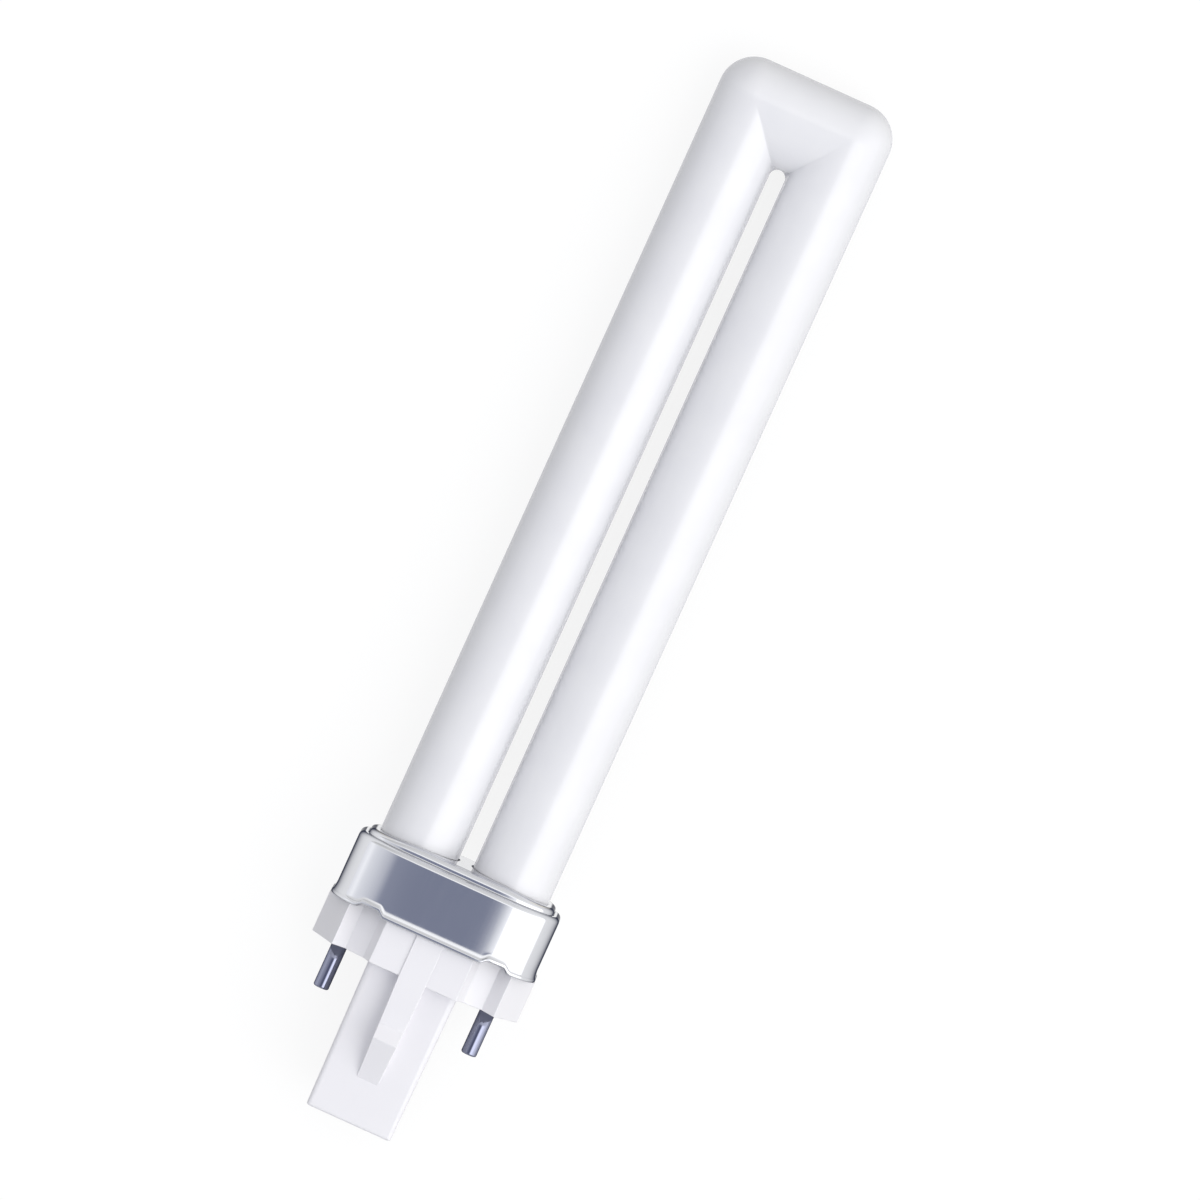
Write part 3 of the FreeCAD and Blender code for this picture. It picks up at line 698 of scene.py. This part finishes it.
# %% [markdown]
# ### White PBT moulding
#
# A heat resistant polyester, filled with white pigment and moulded in a lightly eroded steel tool. It
# has a soft sheen with a very fine grain, and no flow marks.

# %% White PBT moulding


def white_moulding():
    """White plastic with the very fine grain of an eroded tool."""
    material, tree, output = new_material("white_pbt_moulding")
    place = add(tree, "ShaderNodeTexCoord").outputs["Object"]
    # grain of the eroded tool, about 0.15 mm, and shades about 8 mm across
    grain = add(tree, "ShaderNodeTexNoise", Vector=place, Scale=1 / 0.00015, Detail=2.0)
    tint = add(tree, "ShaderNodeTexNoise", Vector=place, Scale=1 / 0.008, Detail=2.0)
    tone = add(tree, "ShaderNodeMix", {"data_type": "RGBA"}, n0=tint.outputs["Fac"],
               n6=linear("#E8E7EB"), n7=linear("#EDECEF"))
    bump = add(tree, "ShaderNodeBump", Strength=0.15, Distance=0.00001,
               Height=grain.outputs["Fac"])
    shader = add(tree, "ShaderNodeBsdfPrincipled", Base_Color=tone.outputs[2], Roughness=0.38,
                 IOR=1.55, Normal=bump.outputs[0])
    tree.links.new(shader.outputs[0], output.inputs["Surface"])
    return material


wear(base, white_moulding())

# %% [markdown]
# ### Nickel plated brass
#
# The pins are turned smooth and plated, so they mirror their surroundings with hardly any blur. Their
# colour is painted darker and bluer than fresh nickel, and dark at grazing angles: a painted reflection of
# the same dark room.

# %% Nickel plated brass


def metal(name, colour, roughness, grain_mm, spread=0.05, strength=0.1, edge="#FFFFFF"):
    """A metal whose blur and relief vary over a grain of a size in millimetres."""
    material, tree, output = new_material(name)
    place = add(tree, "ShaderNodeTexCoord").outputs["Object"]
    grain = add(tree, "ShaderNodeTexNoise", Vector=place, Scale=1000 / grain_mm, Detail=2.0)
    rough = add(tree, "ShaderNodeMapRange", Value=grain.outputs["Fac"], n3=roughness,
                n4=roughness + spread)
    bump = add(tree, "ShaderNodeBump", Strength=strength, Distance=0.00001,
               Height=grain.outputs["Fac"])
    shader = add(tree, "ShaderNodeBsdfPrincipled", Base_Color=linear(colour), Metallic=1.0,
                 Roughness=rough.outputs[0], Normal=bump.outputs[0])
    # a dark edge colour is a painted reflection at grazing angles, and white paints none
    shader.inputs["Specular Tint"].default_value = linear(edge)
    tree.links.new(shader.outputs[0], output.inputs["Surface"])
    return material


# painted reflection: the darker, bluer colour and the dark edge colour stand for a dark room mirrored in
# the pins
nickel = metal("nickel_plated_brass", "#8B8EA1", 0.10, 1.5, spread=0.02, strength=0.0, edge="#1E2438")
for pin in pins:
    wear(pin, nickel)

# %% [markdown]
# ### What the cap and post hide
#
# The inner pieces stay as their CAD nodes. Each still gets the finish of its real material: grey-white
# set cement, tinned copper wire, a clear glass switch bottle, its bimetal strip and a dipped capacitor.

# %% Hidden pieces


def matt_solid(name, dark, light, grain_mm, roughness):
    """A dull solid mottled between two shades over a grain of a size in millimetres."""
    material, tree, output = new_material(name)
    place = add(tree, "ShaderNodeTexCoord").outputs["Object"]
    grain = add(tree, "ShaderNodeTexNoise", Vector=place, Scale=1000 / grain_mm, Detail=4.0)
    tone = add(tree, "ShaderNodeMix", {"data_type": "RGBA"}, n0=grain.outputs["Fac"],
               n6=linear(dark), n7=linear(light))
    bump = add(tree, "ShaderNodeBump", Strength=0.3, Distance=0.00005,
               Height=grain.outputs["Fac"])
    shader = add(tree, "ShaderNodeBsdfPrincipled", Base_Color=tone.outputs[2],
                 Roughness=roughness, Normal=bump.outputs[0])
    tree.links.new(shader.outputs[0], output.inputs["Surface"])
    return material


def switch_glass():
    """Clear soda-lime glass with a little ripple from drawing."""
    material, tree, output = new_material("clear_soda_lime_glass")
    place = add(tree, "ShaderNodeTexCoord").outputs["Object"]
    ripple = add(tree, "ShaderNodeTexNoise", Vector=place, Scale=1 / 0.002, Detail=1.0)
    bump = add(tree, "ShaderNodeBump", Strength=0.1, Distance=0.00002,
               Height=ripple.outputs["Fac"])
    shader = add(tree, "ShaderNodeBsdfPrincipled", Base_Color=linear("#F4F8F6"), Roughness=0.02,
                 IOR=1.5, Transmission_Weight=1.0, Normal=bump.outputs[0])
    tree.links.new(shader.outputs[0], output.inputs["Surface"])
    return material


tinned = metal("tinned_copper_wire", "#C9C6C0", 0.22, 0.3)
hidden_finishes = {
    "capping_cement": matt_solid("set_capping_cement", "#C9C1AE", "#DAD3C3", 0.6, 0.9),
    "starter_bottle": switch_glass(),
    "starter_bimetal": metal("rolled_bimetal", "#B9B2A6", 0.28, 0.4),
    "starter_electrode": tinned,
    "interference_capacitor": matt_solid("dipped_epoxy", "#8A4A1C", "#99561F", 1.2, 0.3),
    "pin_wire_left": tinned, "pin_wire_right": tinned,
    "starter_wire_left": tinned, "starter_wire_right": tinned,
}
for node, finish in hidden_finishes.items():
    wear(frame["nodes"][node], finish)

# %% [markdown]
# ## Floor and light
#
# The lamp lies on a plain white floor in a studio tent. Metal and glass show what stands round them, so
# the tent is written by direction, as brightness by the angle round the lamp's length. From left to right
# there are a pale wall with a lighter strip, a dim panel straight above, which the broad side of the cap
# mirrors, one large softbox with a soft edge, and a pale right wall. The wall beyond the tip is white
# and a little brighter to the right, and the one beyond the post is grey. A tent at no set distance
# lights the lamp evenly from end to end.

# %% Floor
FLOOR_HALF = 40.0
FLOOR_GLOW = 0.87
FLOOR_GREY = "#696969"
floor_mesh = bpy.data.meshes.new("floor")
floor_mesh.from_pydata([(-FLOOR_HALF, -FLOOR_HALF, 0), (FLOOR_HALF, -FLOOR_HALF, 0),
                        (FLOOR_HALF, FLOOR_HALF, 0), (-FLOOR_HALF, FLOOR_HALF, 0)], [],
                       [(0, 1, 2, 3)])
floor = bpy.data.objects.new("floor", floor_mesh)
bpy.context.scene.collection.objects.link(floor)


def floor_finish():
    """Matt paper that throws little light back on the lamp. The eye, mirrors and clear glass see
    it with a glow on top, so that it is white where no shadow falls."""
    material, tree, output = new_material("white_paper_floor")
    sheet = add(tree, "ShaderNodeBsdfDiffuse", Color=linear(FLOOR_GREY))
    seen = add(tree, "ShaderNodeLightPath")
    direct = add(tree, "ShaderNodeMath", {"operation": "MAXIMUM"},
                 n0=seen.outputs["Is Camera Ray"], n1=seen.outputs["Is Glossy Ray"])
    any_view = add(tree, "ShaderNodeMath", {"operation": "MAXIMUM"},
                   n0=direct.outputs[0], n1=seen.outputs["Is Transmission Ray"])
    level = add(tree, "ShaderNodeMath", {"operation": "MULTIPLY"},
                n0=any_view.outputs[0], n1=FLOOR_GLOW)
    glow = add(tree, "ShaderNodeEmission", Color=(1, 1, 1, 1), Strength=level.outputs[0])
    both = add(tree, "ShaderNodeAddShader", n0=sheet.outputs[0], n1=glow.outputs[0])
    tree.links.new(both.outputs[0], output.inputs["Surface"])
    return material


wear(floor, floor_finish())

# %% Studio tent
BRIGHTEST = 3.0
TENT = [(-90, 1.0), (-75, 1.2), (-63, 0.95), (-45, 0.8), (-30, 0.62), (-15, 0.32), (0, 0.24), (3, 0.25),
        (6, 0.4), (8, 0.6), (11, 1.1), (16, 2.2), (22, 2.9), (43, 2.7), (64, 1.9), (90, 1.5)]
TIP_WALL = [(0.20, 1.27), (0.40, 1.27), (0.50, 0.93), (0.90, 0.85), (1.0, 0.8)]
TIP_WALL_TILT = 0.35
TIP_WALL_START = (0.15, 0.25)
FOOT_WALL = (0.55, 0.56, 0.58)
FOOT_WALL_START = (-0.40, -0.55)


def cool(level):
    """A brightness as a colour, with more blue in it the dimmer it is."""
    blue = 0.12 * min(max((1.5 - level) / 1.2, 0.0), 1.0)
    return (level, level + 0.2 * blue, level + blue)


def set_marks(ramp, marks):
    """Writes a colour ramp's marks, which hold brightness as a share of the brightest."""
    elements = ramp.color_ramp.elements
    while len(elements) < len(marks):
        elements.new(0.5)
    for element, (position, colour) in zip(elements, marks):
        element.position = position
        element.color = (*[value / BRIGHTEST for value in colour], 1)


def studio_tent():
    """Brightness by the angle round the lamp's length, from the left wall over the top to the
    right one, blended into the two end walls."""
    world = bpy.data.worlds.new("studio_tent")
    world.use_nodes = True
    tree = world.node_tree
    tree.nodes.clear()
    way = add(tree, "ShaderNodeTexCoord").outputs["Generated"]
    axes = add(tree, "ShaderNodeSeparateXYZ", Vector=way)
    right_way = add(tree, "ShaderNodeMath", {"operation": "MULTIPLY"}, n0=axes.outputs["Y"], n1=-1.0)
    angle = add(tree, "ShaderNodeMath", {"operation": "ARCTAN2"},
                n0=right_way.outputs[0], n1=axes.outputs["Z"])
    share = add(tree, "ShaderNodeMath", {"operation": "MULTIPLY_ADD"},
                n0=angle.outputs[0], n1=1 / math.pi, n2=0.5)
    ramp = add(tree, "ShaderNodeValToRGB", Fac=share.outputs[0])
    set_marks(ramp, [(degrees / 180 + 0.5, cool(level)) for degrees, level in TENT])
    tip_wall = add(tree, "ShaderNodeValToRGB", Fac=axes.outputs["X"])
    set_marks(tip_wall, [(reach, (level,) * 3) for reach, level in TIP_WALL])
    to_right = add(tree, "ShaderNodeMath", {"operation": "MULTIPLY_ADD"},
                   n0=right_way.outputs[0], n1=TIP_WALL_TILT, n2=1.0)
    lit_wall = add(tree, "ShaderNodeVectorMath", {"operation": "SCALE"},
                   n0=tip_wall.outputs["Color"], Scale=to_right.outputs[0])
    at_tip = add(tree, "ShaderNodeMapRange", {"interpolation_type": "SMOOTHSTEP"},
                 Value=axes.outputs["X"], n1=TIP_WALL_START[0], n2=TIP_WALL_START[1])
    tone = add(tree, "ShaderNodeMix", {"data_type": "RGBA"}, n0=at_tip.outputs[0],
               n6=ramp.outputs["Color"], n7=lit_wall.outputs[0])
    at_foot = add(tree, "ShaderNodeMapRange", {"interpolation_type": "SMOOTHSTEP"},
                  Value=axes.outputs["X"], n1=FOOT_WALL_START[0], n2=FOOT_WALL_START[1])
    tone = add(tree, "ShaderNodeMix", {"data_type": "RGBA"}, n0=at_foot.outputs[0],
               n6=tone.outputs[2], n7=(*[value / BRIGHTEST for value in FOOT_WALL], 1))
    shine = add(tree, "ShaderNodeBackground", Color=tone.outputs[2], Strength=BRIGHTEST)
    output = tree.nodes.new("ShaderNodeOutputWorld")
    tree.links.new(shine.outputs[0], output.inputs["Surface"])
    return world


bpy.context.scene.world = studio_tent()
print("tent marks", len(TENT), "brightest", max(level for _, level in TENT))

# %% [markdown]
# ## Camera
#
# The photograph was taken with a long lens: the edges of the tube are parallel. The camera looks at the
# broad side from four and a half degrees towards the tip, and is rolled so that the lamp points up to
# the right, 24.4 degrees from upright.

# %% Camera
LENS = 400.0
SENSOR = 36.0
IMAGE = 1200
PIXELS_PER_MM = 7.07
TILT = math.radians(4.5)
ROLL = math.radians(24.42)
MIDDLE_HEIGHT = 58.2
MIDDLE_PIXEL = (584.0, 603.0)

toward = FRONT * math.cos(TILT) + ALONG * math.sin(TILT)
if toward[2] < 0:
    toward = -toward
image_along = np.cross(np.cross(toward, ALONG), toward)
image_along /= np.linalg.norm(image_along)
image_across = np.cross(image_along, toward)
right = image_across * math.cos(ROLL) + image_along * math.sin(ROLL)
up = -image_across * math.sin(ROLL) + image_along * math.cos(ROLL)
distance = IMAGE * LENS / (SENSOR * PIXELS_PER_MM) * MM
pixel = MM / PIXELS_PER_MM
target = (SEAT + ALONG * MIDDLE_HEIGHT * MM - right * (MIDDLE_PIXEL[0] - IMAGE / 2) * pixel
          + up * (MIDDLE_PIXEL[1] - IMAGE / 2) * pixel)
camera_data = bpy.data.cameras.new("camera")
camera_data.lens = LENS
camera_data.sensor_width = SENSOR
camera_data.clip_end = 50
camera = bpy.data.objects.new("camera", camera_data)
bpy.context.scene.collection.objects.link(camera)
turned = Matrix((right, up, toward)).transposed().to_4x4()
camera.matrix_world = Matrix.Translation(Vector(target + toward * distance)) @ turned
bpy.context.scene.camera = camera
bpy.context.scene.view_settings.view_transform = "Standard"
print("camera distance", round(distance, 3))
